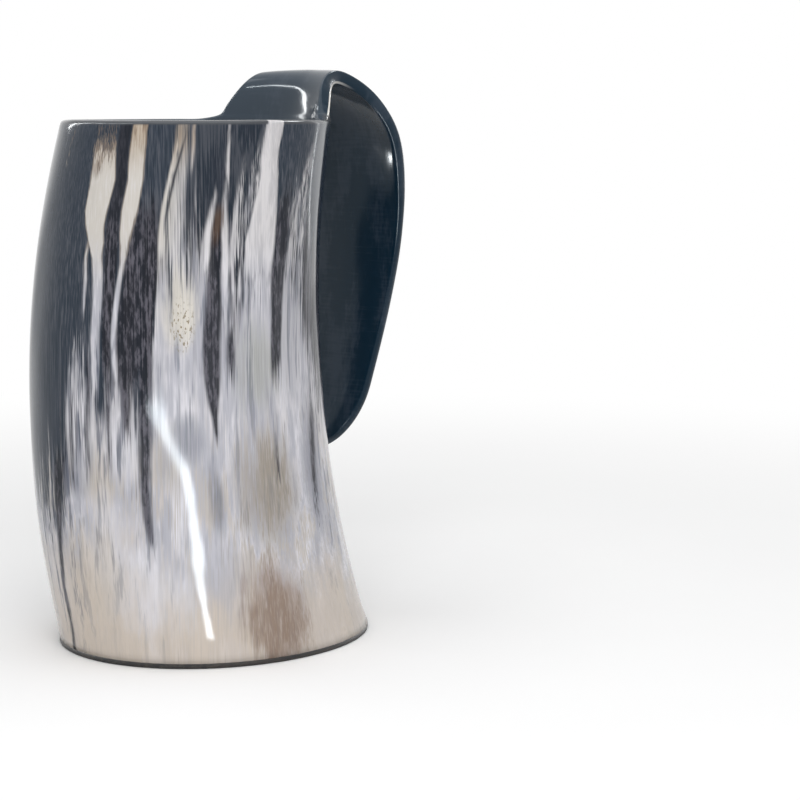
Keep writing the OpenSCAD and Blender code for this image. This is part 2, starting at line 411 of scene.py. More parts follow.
    # One sheet, thickened to both sides of itself
    both = g.add("GeometryNodeJoinGeometry", None, {0: [wall, tongue]})
    middle = g.add("GeometryNodeMergeByDistance", None, {"Geometry": both, "Distance": SEAM_REACH})
    straight = attribute("straight_horn", "FLOAT_VECTOR")
    _, _, straight_z = g.parts(straight)
    level = g.scaled(g.vector("MULTIPLY", straight, (1.0, 1.0, 0.0)), 1 / STRAIGHT_RADIUS)
    own = g.add("GeometryNodeInputNormal")
    away = g.span(straight_z, h.rim_height, h.rim_height + LEAVING_LENGTH)
    facing = g.add("ShaderNodeMix", {"data_type": "VECTOR"}, {0: away, 4: level, 5: own}, 1)
    middle = named(middle, "facing", g.vector("NORMALIZE", facing), "FLOAT_VECTOR")
    shift = g.scaled(attribute("facing", "FLOAT_VECTOR"), attribute("wall") / 2)
    back_shift = g.scaled(shift, -1.0)
    inner = g.add("GeometryNodeFlipFaces", None, {"Mesh": shifted(middle, back_shift)})
    inner = named(inner, "outside", 0.0)
    sockets = {"Mesh": middle, "Offset Scale": 0.0, "Individual": False}
    lifted = g.add("GeometryNodeExtrudeMesh", {"mode": "FACES"}, sockets)
    cut = lifted.out("Side")
    lifted = named(lifted, "outside", lifted.out("Top"))
    lifted = named(lifted, "cut_edge", cut, "FLOAT", "FACE")
    is_outside = attribute("outside")
    outer = shifted(lifted, g.scaled(shift, 2 * is_outside - 1))
    closed = g.add("GeometryNodeJoinGeometry", None, {0: [outer, inner]})
    closed = g.add("GeometryNodeMergeByDistance", None, {"Geometry": closed, "Distance": SHELL_REACH})

    # Rounded by subdivision, apart from the sawn foot
    ends = g.add("GeometryNodeInputMeshEdgeVertices", out="Position 1")
    _, _, first_z = g.parts(ends)
    _, _, second_z = g.parts(ends.out("Position 2"))
    foot_line = h.foot_height + SAWN_REACH
    sawn = g.math("LESS_THAN", g.math("MAXIMUM", first_z, second_z), foot_line)
    arris = 1 - abs(2 * attribute("cut_edge") - 1)
    on_tongue = g.span(straight_z, h.rim_height, h.rim_height + TONGUE_LEAD)
    on_leg = g.span(straight_z, h.rim_height + h.leg_from, h.rim_height + h.leg_to)
    tongue_crease = h.tongue_crease + (h.leg_crease - h.tongue_crease) * on_leg
    crease = sawn + arris * (h.rim_crease + (tongue_crease - h.rim_crease) * on_tongue)
    closed = named(closed, "arris", arris)
    sockets = {"Mesh": closed, "Level": ROUNDING, "Edge Crease": crease}
    smooth = g.add("GeometryNodeSubdivisionSurface", None, sockets)

    # A worked horn's shallow hollows, cut into the faces that show
    hollow = g.noise(g.vector("MULTIPLY", straight, HOLLOW_STRETCH), 1 / HOLLOW_SIZE, 1.0)
    _, _, z = g.parts(g.add("GeometryNodeInputPosition"))
    shown = g.math("MAXIMUM", attribute("outside"), on_tongue)
    fade = g.span(z, h.foot_height, h.foot_height + HOLLOW_FADE) * shown
    depth = fade * (h.polish * on_tongue + h.unevenness * g.span(hollow, 0.3, 0.7))
    normal = g.add("GeometryNodeInputNormal")
    worked = shifted(smooth, g.scaled(normal, -depth))

    shaded = g.add("GeometryNodeSetShadeSmooth", None, {"Geometry": worked})
    whole = g.add("GeometryNodeRealizeInstances", None, {"Geometry": shaded})
    dressed = g.add("GeometryNodeSetMaterial", None, {"Geometry": whole, "Material": material})
    g.add("NodeGroupOutput", None, {"Geometry": dressed})
    return tree


def made_from_tree(name, tree, values):
    """Plain mesh piece from a Geometry Nodes tree with the given inputs."""
    maker = bpy.data.objects.new(name + "_maker", bpy.data.meshes.new(name + "_maker"))
    bpy.context.scene.collection.objects.link(maker)
    modifier = maker.modifiers.new("Shape", "NODES")
    modifier.node_group = tree
    for item in tree.interface.items_tree:
        if item.in_out == "INPUT":
            modifier[item.identifier] = values[item.name]
    evaluated = maker.evaluated_get(bpy.context.evaluated_depsgraph_get())
    mesh = bpy.data.meshes.new_from_object(evaluated)
    maker.modifiers.remove(modifier)
    bpy.data.objects.remove(maker)
    mesh.name = name
    piece = bpy.data.objects.new(name, mesh)
    bpy.context.scene.collection.objects.link(piece)
    return piece


RING_COLUMNS = 144


def ring_piece(name, rings, material):
    """Closed piece lofted through rings, from a pole on the axis to another.

    A ring is its height, its depth below the horn's outer face, and the height at which that face is taken.
    """
    points = []
    for z, depth, level in rings:
        for column in range(RING_COLUMNS):
            x, y = wall_plan(SIZES, column * 2 * math.pi / RING_COLUMNS, level, depth)
            points.append((x, y, z))
    faces = []
    for k in range(len(rings) - 1):
        for column in range(RING_COLUMNS):
            beside = (column + 1) % RING_COLUMNS
            low = k * RING_COLUMNS
            high = low + RING_COLUMNS
            faces.append((low + column, low + beside, high + beside, high + column))
    for k, turned in ((0, True), (len(rings) - 1, False)):
        pole = len(points)
        z, _, level = rings[k]
        points.append((axis_x(SIZES, level / SIZES.rim_height), 0, z))
        for column in range(RING_COLUMNS):
            ends = [k * RING_COLUMNS + column, k * RING_COLUMNS + (column + 1) % RING_COLUMNS]
            faces.append((pole, *(reversed(ends) if turned else ends)))
    mesh = bpy.data.meshes.new(name)
    mesh.from_pydata(points, [], faces)
    mesh.shade_smooth()
    mesh.materials.append(material)
    piece = bpy.data.objects.new(name, mesh)
    bpy.context.scene.collection.objects.link(piece)
    return piece


def new_material(name):
    material = bpy.data.materials.new(name)
    material.use_nodes = True
    material.node_tree.nodes.clear()
    return material, Graph(material.node_tree)


def finish_material(g, colour, roughness, normal, **constants):
    """Principled shader from wires or values; constants are set on its own sockets."""
    sockets = {"Base Color": colour, "Roughness": roughness, "Normal": normal}
    for name, value in constants.items():
        sockets[name.replace("_", " ").title().replace("Ior", "IOR")] = value
    shader = g.add("ShaderNodeBsdfPrincipled", None, sockets)
    g.add("ShaderNodeOutputMaterial", None, {"Surface": shader})


def grey(value):
    return (value, value, value, 1.0)


# Colours of the horn
SLATE = (0.026, 0.034, 0.050, 1.0)
SOOT = (0.022, 0.020, 0.025, 1.0)
JET = (0.010, 0.019, 0.029, 1.0)
INK = (0.008, 0.008, 0.013, 1.0)
NIGHT = (0.010, 0.013, 0.022, 1.0)
MAUVE = (0.100, 0.094, 0.115, 1.0)
ASH = (0.15, 0.155, 0.175, 1.0)
GREY = (0.20, 0.20, 0.22, 1.0)
PALE = (0.40, 0.40, 0.445, 1.0)
WHITE = (0.67, 0.66, 0.70, 1.0)
WARM = (0.52, 0.465, 0.40, 1.0)
CREAM = (0.54, 0.51, 0.47, 1.0)
TAN = (0.31, 0.275, 0.235, 1.0)
BEIGE = (0.58, 0.505, 0.43, 1.0)
UMBER = (0.27, 0.20, 0.155, 1.0)
BROWN = (0.14, 0.090, 0.058, 1.0)
BURNT = (0.085, 0.048, 0.028, 1.0)
NAVY = (0.048, 0.060, 0.098, 1.0)
STRAW = (0.60, 0.55, 0.43, 1.0)
OLIVE = (0.19, 0.145, 0.070, 1.0)
SAGE = (0.34, 0.345, 0.325, 1.0)
STEEL = (0.12, 0.135, 0.175, 1.0)
TOAST = (0.36, 0.27, 0.18, 1.0)
# Pale line along the handle's edge where it leaves the rim: a painted highlight, also standing for rubbed
# wear
GLINT_AND_WEAR = (0.74, 0.72, 0.68, 1.0)
LIP = (0.060, 0.063, 0.070, 1.0)
TONGUE = (0.042, 0.056, 0.074, 1.0)
TEAL = (0.004, 0.016, 0.030, 1.0)

# Streaks: how ragged their sides and their ends are, how full they are of fibres, then points down their
# middle line, each a height in millimetres, an angle from the front and a half width in degrees
LIGHT_STREAKS = (
    (0.35, 0.7, 1.0, (153, -36.4, 5.4), (143, -35.5, 6.0), (134, -36, 5.4), (130, -35.2, 4.4),
     (125, -33.2, 3.6), (121, -32.2, 2.2), (109, -30.6, 2.0), (80, -30.4, 1.8)),
    (0.9, 0.6, 0.3, (164, -38.0, 5.2), (144, -36.0, 5.4)),
    (0.4, 0.6, 0.35, (164, -57.0, 0.7), (148, -58.5, 0.5)),
    (0.4, 0.6, 1.0, (127, -36.6, 0.4), (121, -37.4, 0.6), (104, -36.6, 0.5)),
    (0.35, 0.4, 1.0, (166, -22.8, 3.1), (151, -21.4, 3.2), (143, -20.6, 3.3), (134, -20.6, 3.5),
     (128, -20.2, 3.0), (124, -20.2, 2.0), (119.5, -21.4, 0.8), (114, -22.2, 1.0), (105, -22.8, 1.2),
     (84, -22.4, 1.3)),
    (0.9, 0.9, 0.8, (164, -5.2, 1.8), (151, -3.8, 2.8), (143, -3.4, 3.4), (128, -2.0, 4.4)),
    (0.9, 0.9, 0.86, (145, -2.2, 1.6), (134, -2.2, 3.6), (125, -1.4, 5.0), (112, 1.0, 7.0)),
    (0.4, 0.6, 1.0, (156, -5.6, 0.7), (143, -6.6, 0.7), (132, -6.8, 0.9), (118, -6.4, 1.4)),
    (0.5, 0.6, 1.0, (163, -0.6, 0.5), (147, 1.2, 0.4)),
    (0.6, 0.8, 1.0, (162, 13.6, 0.3), (140, 16.6, 0.5)),
    (0.8, 0.9, 1.0, (138, 12.4, 0.8), (128, 11.2, 1.2), (112, 10.8, 1.7)),
    (0.7, 0.9, 1.0, (142, 15.6, 0.5), (130, 17.6, 1.2), (119, 18.8, 1.8), (100, 20.2, 1.8)),
    (1.4, 1.0, 0.8, (146, 22.4, 0.9), (118, 22.5, 2.2)),
    (1.6, 1.0, 0.5, (156, 29.5, 1.4), (140, 28.0, 2.4), (122, 26.5, 4.0)),
    (0.5, 0.4, 1.0, (168, 35.0, 4.8), (151, 33.8, 4.1), (143, 34.5, 4.5), (134, 34.6, 5.6),
     (125, 33.8, 7.2), (112, 34.0, 7.0)),
    (1.2, 0.9, 0.7, (154, 60.0, 0.9), (143, 57.0, 2.4), (130, 55.5, 4.6), (98, 53.6, 5.2)),
)
DARK_STREAKS = (
    (0.7, 0.5, 1.0, (132, 14.4, 0.8), (125, 14.6, 2.2), (109, 15.0, 3.2), (100, 14.8, 3.5), (88, 14.8, 3.4),
     (82, 14.9, 2.6), (75, 15.0, 1.3), (66, 15.2, 0.5)),
    (0.4, 0.6, 1.0, (157, -3.0, 0.4), (143, -4.9, 0.5), (130, -5.4, 0.4)),
    (1.6, 1.0, 0.6, (113, 24.5, 3.0), (98, 24.2, 2.6)),
    (1.0, 0.8, 1.0, (101, 22.6, 1.6), (92, 22.4, 1.7), (81, 22.4, 0.7)),
    (0.8, 0.6, 1.0, (140, 45.0, 3.4), (120, 44.2, 3.8), (105, 44.0, 3.2), (84, 43.6, 3.0)),
    (0.8, 0.7, 1.0, (137, -13.2, 3.6), (124, -13.8, 5.6), (110, -14.2, 7.0), (96, -14.6, 6.8),
     (84, -14.8, 6.0)),
    (0.8, 0.6, 1.0, (92, -18.6, 2.4), (80, -18.2, 1.7), (69, -17.8, 0.8)),
    (0.9, 0.7, 1.0, (92, -10.6, 2.8), (75, -11.0, 2.3), (51, -13.0, 1.7), (36, -13.4, 0.9)),
    (0.6, 0.7, 1.0, (168, -29.3, 2.9), (153, -27.9, 2.7), (143, -26.7, 2.4), (134, -27.3, 2.8),
     (124, -26.0, 2.8), (110, -26.0, 2.2), (86, -25.8, 1.6)),
    (1.2, 0.8, 1.0, (86, -25.2, 0.8), (56, -25.6, 0.5)),
    (1.2, 0.8, 1.0, (96, -33.6, 0.8), (76, -34.0, 1.0), (57, -35.0, 0.7)),
    (1.0, 0.8, 0.7, (97, -25.6, 1.9), (82, -25.4, 1.3)),
    (1.4, 1.0, 0.4, (92, -40.0, 6.0), (60, -41.0, 6.0)),
    (1.4, 1.0, 1.0, (76, 66.0, 2.2), (58, 63.5, 2.0), (44, 61.0, 1.4)),
    (1.5, 1.0, 1.0, (68, 41.0, 0.8), (54, 41.0, 0.5)),
    (0.7, 0.5, 1.0, (64, -48.0, 3.4), (50, -51.5, 1.9), (22, -56.0, 1.1), (-4, -57.5, 1.0)),
    (1.0, 0.8, 1.0, (84, -41.0, 1.0), (50, -42.0, 0.6)),
)

# Tinted patches: colour, middle angle and half width in degrees, middle height and half height, strength
PATCHES = (
    (STRAW, 2, 7, 106, 10, 0.6),
    (SAGE, 32, 10, 88, 12, 0.9),
    (GREY, 53, 6, 100, 18, 0.45),
    (TAN, 34, 12, 54, 15, 1.0),
    (WARM, -30, 6, 56, 8, 0.7),
    (TAN, -4, 6, 64, 9, 0.5),
    (NAVY, -40, 6, 62, 9, 0.6),
    (NAVY, 63, 6, 56, 16, 0.6),
    (WHITE, -38.5, 5, 70, 12, 0.8),
    (WHITE, -19, 7, 67, 10, 0.9),
    (STEEL, 4, 6, 68, 6, 0.6),
    (STEEL, 12, 3, 52, 9, 0.8),
    (WHITE, -26, 10, 42, 9, 0.7),
    (PALE, 9, 8, 26, 12, 0.7),
    (WHITE, -18, 14, 26, 12, 0.75),
    (WARM, -36, 10, 28, 12, 0.6),
    (BEIGE, -50, 14, 18, 18, 0.6),
    (UMBER, 28, 13, 13, 14, 1.0),
    (BROWN, -38.5, 2.5, 147, 3, 0.6),
)

# A specked stain: middle angle and half width, middle height and half height
STAIN = (3, 4, 101, 6)

# Height at which the dark upper horn gives way to the pale root end: angle from the front, height
BORDER = (
    (-60, 54), (-47, 56), (-43.5, 80), (-37, 92), (-28, 84), (-21, 86), (-16, 76), (-9, 80), (-7, 118),
    (0, 126), (12, 122), (24, 112), (32, 124), (50, 122), (58, 116), (62, 94), (72, 78),
)
FRONT = math.pi + VIEW_HEADING

# Beyond this angle the grain of the front comes again, turned round and drawn out up to the middle of the
# back, and a little lower
FOLD = 78
BACK_LIFT = 11

# Ramps of the streaks run from this height, over this length, in millimetres
RAMP_FROM = -10
RAMP_LENGTH = 190

# The border's ramp reaches this height, and the pale root end fades in over this depth, in millimetres
BORDER_TOP = 160
BORDER_DEPTH = 42

GRAIN_ROUGHNESS = 0.58
HORN_IOR = 1.29
HORN_GLOSS_TINT = (0.86, 0.95, 1.0, 1.0)


# Materials of the horn: heights are in millimetres up the straight horn, angles in degrees from the front
def horn_places(g):
    """Where a point lies on the straight horn, and which face of it the point is on."""
    p = SimpleNamespace()

    def stored(name, out="Fac"):
        return g.add("ShaderNodeAttribute", {"attribute_name": name}, None, out)

    p.outside = stored("outside")
    p.arris = stored("arris")
    p.cut_edge = stored("cut_edge")
    p.x, p.y, height = g.parts(g.scaled(stored("straight_horn", "Vector"), 1 / MM))
    p.ahead = p.x * math.cos(FRONT) + p.y * math.sin(FRONT)
    aside = p.y * math.cos(FRONT) - p.x * math.sin(FRONT)
    bearing = g.math("ARCTAN2", aside, p.ahead) * (180 / math.pi)
    beyond = g.math("MAXIMUM", abs(bearing) - FOLD, 0)
    p.around = bearing - g.math("SIGN", bearing) * beyond * (180 / (180 - FOLD))
    p.z = height + g.span(beyond, 4, 40, 0, BACK_LIFT) * g.span(height, 150, 60)
    return p


def add_grains(g, p):
    """Noises of the horn: its fibres stand upright in the wall, so the bowed face cuts across them."""
    spot = g.scaled(g.add("ShaderNodeTexCoord", out="Object"), 1 / MM)
    spot_x, spot_y, spot_z = g.parts(spot)
    sideways = spot_x * math.sin(VIEW_HEADING) - spot_y * math.cos(VIEW_HEADING)

    def grain(scale, stretch, detail=2.0):
        return g.noise(g.xyz(sideways, p.ahead, spot_z / stretch), scale, detail, GRAIN_ROUGHNESS)

    p.coarse = grain(0.22, 25)
    p.medium = grain(0.75, 45)
    p.fine = grain(2.4, 60)
    p.stroke = grain(0.30, 7, 3.0)
    p.dab = grain(0.42, 12, 3.0)
    p.fleck = grain(0.9, 3.5, 3.0)
    p.cloud = grain(0.085, 2.4, 3.0)
    p.tint = g.noise(g.xyz(p.ahead, sideways, spot_z / 2), 0.07)
    p.specks = g.noise(g.vector("MULTIPLY", spot, (1.0, 1.0, 0.5)), 1.7)
    p.fibre = p.fine * 0.35 + p.medium * 0.65
    p.hair = p.fine * 0.7 + p.medium * 0.3
    p.brush = (p.hair - 0.5) * 1.2
    p.jitter = (p.medium - 0.5) * 0.8 + (p.fine - 0.5)
    p.broken = (p.cloud - 0.5) * 4 + (p.stroke - 0.5) * 4 + p.brush * 2 + 1.3
    wander = (g.noise(g.vector("MULTIPLY", spot, (0.3, 0.3, 1.0)), 0.06, 1.0) - 0.5) * 2.4
    p.turned = (p.around + wander) / 360 + 0.5
    p.level = (p.z - RAMP_FROM) / RAMP_LENGTH


def streak_mask(g, p, lines, ragged, fringe, fill, *points):
    """1 inside a streak. One that isn't full is broken up by the lines of the grain."""
    stops = [
        ((height - RAMP_FROM) / RAMP_LENGTH, (angle / 360 + 0.5, half / 360, 0.0, 1.0))
        for height, angle, half in reversed(points)
    ]
    middle, half, _ = g.parts(g.add("ShaderNodeValToRGB", {"stops": stops}, {0: p.level}, "Color"))
    inside = (half - abs(p.turned - middle)) * 360 + p.jitter * (2.6 * ragged)
    height = p.z + p.jitter * (30 * fringe)
    upper = points[0][0]
    lower = points[-1][0]
    ends = g.span(height, lower - 3, lower + 6) * g.span(height, upper + 3, upper - 6)
    mask = g.span(inside, -0.3 - 0.8 * ragged, 0.3 + 0.8 * ragged) * ends
    if fill < 1:
        mask = mask * g.span(lines, 0.58 - 0.3 * fill, 0.84 - 0.3 * fill)
    return mask


def all_streaks(g, p, rows, lines):
    total = streak_mask(g, p, lines, *rows[0])
    for row in rows[1:]:
        total = g.math("MAXIMUM", total, streak_mask(g, p, lines, *row))
    return total


def patch_mask(g, p, middle, half, height, half_height):
    """1 in the middle of a patch with a broken outline."""
    off_x = (p.around - middle) / half
    off_z = (p.z - height) / half_height
    return g.span(p.broken - off_x * off_x - off_z * off_z, -1.2, 1.8)


def root_end_mask(g, p):
    """1 in the pale root end. Also keeps how far below its border a point lies."""
    stops = [(angle / 360 + 0.5, grey(height / BORDER_TOP)) for angle, height in BORDER]
    ramp = g.add("ShaderNodeValToRGB", {"stops": stops}, {0: p.around / 360 + 0.5}, "Color")
    border = g.parts(ramp)[0] * BORDER_TOP
    p.below = (border - p.z) / BORDER_DEPTH
    rise = p.below + (p.coarse - 0.5) + (p.cloud - 0.5) * 0.9
    return 0.6 * g.span(rise + p.jitter * 1.3, -0.18, 0.18) + 0.4 * g.span(rise + p.brush, -0.25, 0.45)


def dark_colour(g, p, bars):
    """Slate with ash fibres, nearly black in the gap right of the middle and in the bars."""
    streaked = g.span(p.around, -34, -22) * g.span(p.z, 142, 122)
    gap = g.span(p.around, -2, 4) * g.span(p.around, 33, 26)
    veil = g.span(p.z, 152, 120) * g.span(p.around, -62, -34) * g.span(p.around, 75, 60)
    veil = veil * g.span(abs(p.around - 6), 5, 9, 0.1, 1.0)
    hazy = g.span(p.cloud + p.brush, 0.42, 0.62) * g.span(p.around, -34, -12) * g.span(p.around, 66, 50)
    flecked = g.span(p.hair * 0.3 + p.fleck * 0.4 + p.dab * 0.3, 0.46, 0.58)
    flecked = flecked * g.span(p.z, 144, 120, 0.15, 1.0)
    dark = g.blend(streaked * g.span(p.coarse, 0.40, 0.54), SLATE, SOOT)
    dark = g.blend(gap * 0.7, dark, NIGHT)
    dark = g.blend(g.span(p.fine, 0.50, 0.36) * 0.6, dark, JET)
    dark = g.blend(streaked * g.span(p.medium, 0.48, 0.64) * 0.6, dark, MAUVE)
    dark = g.blend(g.span(p.hair, 0.46, 0.66) * (0.15 + 0.4 * veil), dark, ASH)
    dark = g.blend(hazy * 0.2, dark, ASH)
    dark = g.blend(g.span(p.fleck, 0.50, 0.70) * (0.05 + 0.27 * streaked), dark, ASH)
    return g.blend(bars * 0.85, dark, g.blend(flecked, INK, MAUVE))


def pale_colour(g, p):
    """Grey-white and cream fibres with tinted patches, beige at the foot, singed near the rim."""
    low = g.span(p.z + p.brush * 50 + (p.cloud - 0.5) * 60, 34, 10)
    light = g.blend(g.span(p.cloud * 0.4 + p.stroke * 0.6 + p.brush * 0.6, 0.42, 0.58), PALE, WHITE)
    light = g.blend(g.span(p.tint + p.brush, 0.46, 0.58) * g.span(p.z, 84, 52, 0.05, 0.66), light, WARM)
    light = g.blend(g.span(p.z, 108, 130) * g.span(p.around, 2, -8, 0.4, 1.0), light, CREAM)
    light = g.blend(low * 0.75, light, BEIGE)
    for colour, *where, strength in PATCHES:
        light = g.blend(patch_mask(g, p, *where) * strength, light, colour)

    # Strokes and fibres, fewer of them on the clean upper streaks
    upper_left = g.span(p.around, -12, -18)
    upper_right = g.span(p.around, 26, 30) * g.span(p.around, 45, 41)
    clean = (upper_left + upper_right) * g.span(p.z, 108, 122)
    fibred = g.span(p.z, 12, 40, 0.5, 1.0) * (1 - 0.75 * clean)
    close = g.span(p.below, 2.5, 0.3) * (1 - clean)
    inky = g.span(p.dab * 0.4 + p.stroke * 0.6, 0.51, 0.60) * g.span(p.around, -13, -26)
    inky = inky * g.span(p.below, 1.0, 0.4) * (1 - clean)
    light = g.blend(g.span(p.dab + p.brush * 0.4, 0.54, 0.67) * 0.65 * close, light, STEEL)
    light = g.blend(inky * 0.75, light, NAVY)
    light = g.blend(g.span(p.medium, 0.48, 0.70) * 0.2 * fibred, light, GREY)
    light = g.blend(g.span(p.fine, 0.48, 0.68) * 0.22 * fibred, light, GREY)
    light = g.blend(g.span(p.fine, 0.50, 0.30) * g.span(p.z, 40, 90, 0.1, 0.3), light, WHITE)

    # A specked stain, and streaks toasted towards the rim
    stain = patch_mask(g, p, *STAIN) * g.span(p.specks, 0.55, 0.64)
    left_of_gap = g.span(p.around, 16, 4)
    singed = g.span(p.hair, 0.44, 0.62) * g.span(p.z, 146, 158) * left_of_gap
    light = g.blend(stain * 0.9, light, OLIVE)
    light = g.blend(g.span(p.z, 142, 158) * left_of_gap * 0.65, light, TOAST)
    return g.blend(singed * 0.7, light, BROWN)


def tongue_colour(g, p):
    """Blue-black, with faint lines across it. Its cut edge is painted darker as shade, and a pale line
    along the edge where it leaves the rim is a painted highlight that also stands for rubbed wear.
    """
    lines = g.noise(g.vector("MULTIPLY", g.xyz(p.x, p.y, p.z), (0.06, 0.06, 1.0)), 1.1)
    # Pale line along the arris where the handle leaves the rim: a painted highlight, also standing for
    # rubbed wear
    glint_and_wear = g.span(p.arris, 0.60, 0.80) * g.span(p.outside, 0.78, 0.92)
    tongue = g.blend(g.span(p.outside, 0.3, 0.7), TONGUE, TEAL)
    # Painted shade: the cut edge is darkened towards blue-black, against the light it catches
    tongue = g.blend(p.cut_edge * 0.85, tongue, TEAL)
    tongue = g.blend(g.span(lines + (p.cloud - 0.5), 0.46, 0.72) * 0.05, tongue, STEEL)
    tongue = g.blend(g.span(p.cloud + (p.fleck - 0.5) * 0.4, 0.46, 0.66) * 0.10, tongue, STEEL)
    return g.blend(glint_and_wear * g.span(p.z, 160, 162) * g.span(p.z, 188, 172), tongue, GLINT_AND_WEAR)


def horn_material():
    """Polished horn: slate streaked with cream above, pale fibres and beige towards the foot."""
    material, g = new_material("polished_horn")
    p = horn_places(g)
    add_grains(g, p)
    bars = all_streaks(g, p, DARK_STREAKS, p.fibre)
    pale = g.math("MAXIMUM", root_end_mask(g, p), all_streaks(g, p, LIGHT_STREAKS, p.hair))
    pale = pale * (1 - 0.95 * bars)
    colour = g.blend(pale, dark_colour(g, p, bars), pale_colour(g, p))

    # Brown along the sides of the upper left streaks, and a scorched arch over the middle bar
    beside = g.span(pale, 0.05, 0.45) * g.span(pale, 0.95, 0.55)
    beside = beside * g.span(p.z, 112, 128) * g.span(p.around, -6, -14)
    arch = g.span(abs(p.around - 14.4) - p.jitter * 4, 2.4, 0.8)
    arch = arch * g.span(p.z, 122, 129) * g.span(p.z, 138, 132)
    colour = g.blend(beside * 0.5, colour, BROWN)
    colour = g.blend(arch * 0.75, colour, BURNT)

    # Lip, tongue and the inside of the wall are dark
    tongue = tongue_colour(g, p)
    lip = g.span(p.z, 158.7, 159.2) * g.span(abs(p.around - 35), 3.4, 4.6)
    colour = g.blend(lip, colour, LIP)
    colour = g.blend(g.span(p.z, 160, 163), colour, tongue)
    colour = g.blend(g.span(p.outside, 0.6, 0.3), colour, tongue)

    # The lip is smooth, and the side of the handle that the fingers touch is a little duller
    lipped = g.span(p.z, 157, 159) * g.span(p.z, 164, 161)
    finger_side = g.span(p.z, 164, 176) * g.span(p.outside, 0.6, 0.9)
    height = (p.fine * 0.5 + p.medium) * (1 - lipped)
    bump = g.bump(height, 0.04, 0.2 * MM)
    roughness = 0.07 + 0.08 * p.fine + 0.06 * lipped + 0.03 * finger_side
    finish_material(g, colour, roughness, bump, ior=HORN_IOR, specular_tint=HORN_GLOSS_TINT)
    return material


# Tones of the other pieces, the darker one first
LACQUER = (0.006, 0.006, 0.008, 1.0), (0.014, 0.013, 0.014, 1.0)
STAINED_WOOD = (0.008, 0.008, 0.009, 1.0), (0.03, 0.026, 0.023, 1.0)
WOOD_BAND = (0.045, 0.036, 0.03, 1.0)
AMBER = (0.34, 0.22, 0.09, 1.0), (0.50, 0.38, 0.20, 1.0)
RESIN = (0.008, 0.008, 0.009, 1.0), (0.02, 0.019, 0.02, 1.0)


def coat_material():
    """Black lacquer, brushed on and drained."""
    material, g = new_material("black_lacquer")
    place = g.add("ShaderNodeTexCoord", out="Object")
    runs = g.noise(g.vector("MULTIPLY", place, (1.0, 1.0, 0.25)), 160.0, 3.0)
    grit = g.noise(place, 900.0, 2.0)
    colour = g.blend(g.span(runs, 0.4, 0.65), *LACQUER)
    bump = g.bump(runs + grit * 0.3, 0.25, 0.2 * MM)
    finish_material(g, colour, 0.08 + 0.12 * grit, bump, ior=1.5, coat_weight=0.6, coat_roughness=0.05)
    return material


def base_material():
    """Black stained wood, sanded flat."""
    material, g = new_material("stained_wood")
    place = g.add("ShaderNodeTexCoord", out="Object")
    grain = g.noise(g.vector("MULTIPLY", place, (0.06, 1.0, 1.0)), 900.0, 3.0, 0.6)
    bands = g.noise(g.vector("MULTIPLY", place, (0.1, 1.0, 0.6)), 160.0, 2.0)
    colour = g.blend(g.span(grain, 0.42, 0.64), *STAINED_WOOD)
    colour = g.blend(g.span(bands, 0.5, 0.7) * 0.5, colour, WOOD_BAND)
    bump = g.bump(grain, 0.3, 0.15 * MM)
    finish_material(g, colour, 0.34 + 0.2 * grain, bump, ior=1.48)
    return material


def glue_material():
    """Hardened amber glue."""
    material, g = new_material("amber_glue")
    place = g.add("ShaderNodeTexCoord", out="Object")
    cloud = g.noise(place, 300.0, 3.0)
    colour = g.blend(g.span(cloud, 0.35, 0.65), *AMBER)
    bump = g.bump(cloud, 0.2, 0.2 * MM)
    finish_material(g, colour, 0.2 + 0.2 * cloud, bump, ior=1.5)
    return material


def bead_material():
    """Black sealing resin."""
    material, g = new_material("black_resin")
    place = g.add("ShaderNodeTexCoord", out="Object")
    flow = g.noise(place, 220.0, 3.0)
    colour = g.blend(g.span(flow, 0.35, 0.65), *RESIN)
    bump = g.bump(flow, 0.2, 0.2 * MM)
    finish_material(g, colour, 0.1 + 0.15 * flow, bump, ior=1.5)
    return material


FLOOR_SIZE = 6.0
FLOOR_DROP = 0.1 * MM
FLOOR_TONES = grey(0.88), grey(0.91)

# The floor is matt near the tankard, where the shadow falls, and plain white further out
FLOOR_NEAR = 0.14
FLOOR_FAR = 0.60


def seen_directly(g):
    """1 for what the camera sees, straight or in a reflection or through glass."""
    path = g.add("ShaderNodeLightPath", out="Is Camera Ray")
    mirrored = g.math("MAXIMUM", path.out("Is Glossy Ray"), path.out("Is Transmission Ray"))
    return g.math("MAXIMUM", path, mirrored)


def floor_piece():
    material, g = new_material("pale_floor")
    place = g.add("ShaderNodeTexCoord", out="Object")
    distance = g.vector("LENGTH", place, out="Value")
    mottle = g.noise(place, 8.0, 3.0)
    tone = g.blend(mottle, *FLOOR_TONES)
    matt = g.add("ShaderNodeBsdfDiffuse", None, {"Color": tone})
    white = g.add("ShaderNodeEmission", None, {"Color": grey(1.0), "Strength": 1.0})
    away = g.span(distance, FLOOR_NEAR, FLOOR_FAR) * seen_directly(g)
    surface = g.add("ShaderNodeMixShader", None, {0: away, 1: matt, 2: white})
    g.add("ShaderNodeOutputMaterial", None, {"Surface": surface})
    half = FLOOR_SIZE / 2
    mesh = bpy.data.meshes.new("floor")
    corners = [(-half, -half), (half, -half), (half, half), (-half, half)]
    mesh.from_pydata([(x, y, -FLOOR_DROP) for x, y in corners], [], [(0, 1, 2, 3)])
    mesh.materials.append(material)
    floor = bpy.data.objects.new("floor", mesh)
    bpy.context.scene.collection.objects.link(floor)
    return floor


def view_point(ahead, right, up):
    """Point given from the origin along the camera's heading, to its right, and up."""
    forward = Vector((math.cos(VIEW_HEADING), math.sin(VIEW_HEADING), 0))
    aside = Vector((math.sin(VIEW_HEADING), -math.cos(VIEW_HEADING), 0))
    return forward * ahead + aside * right + Vector((0, 0, up))


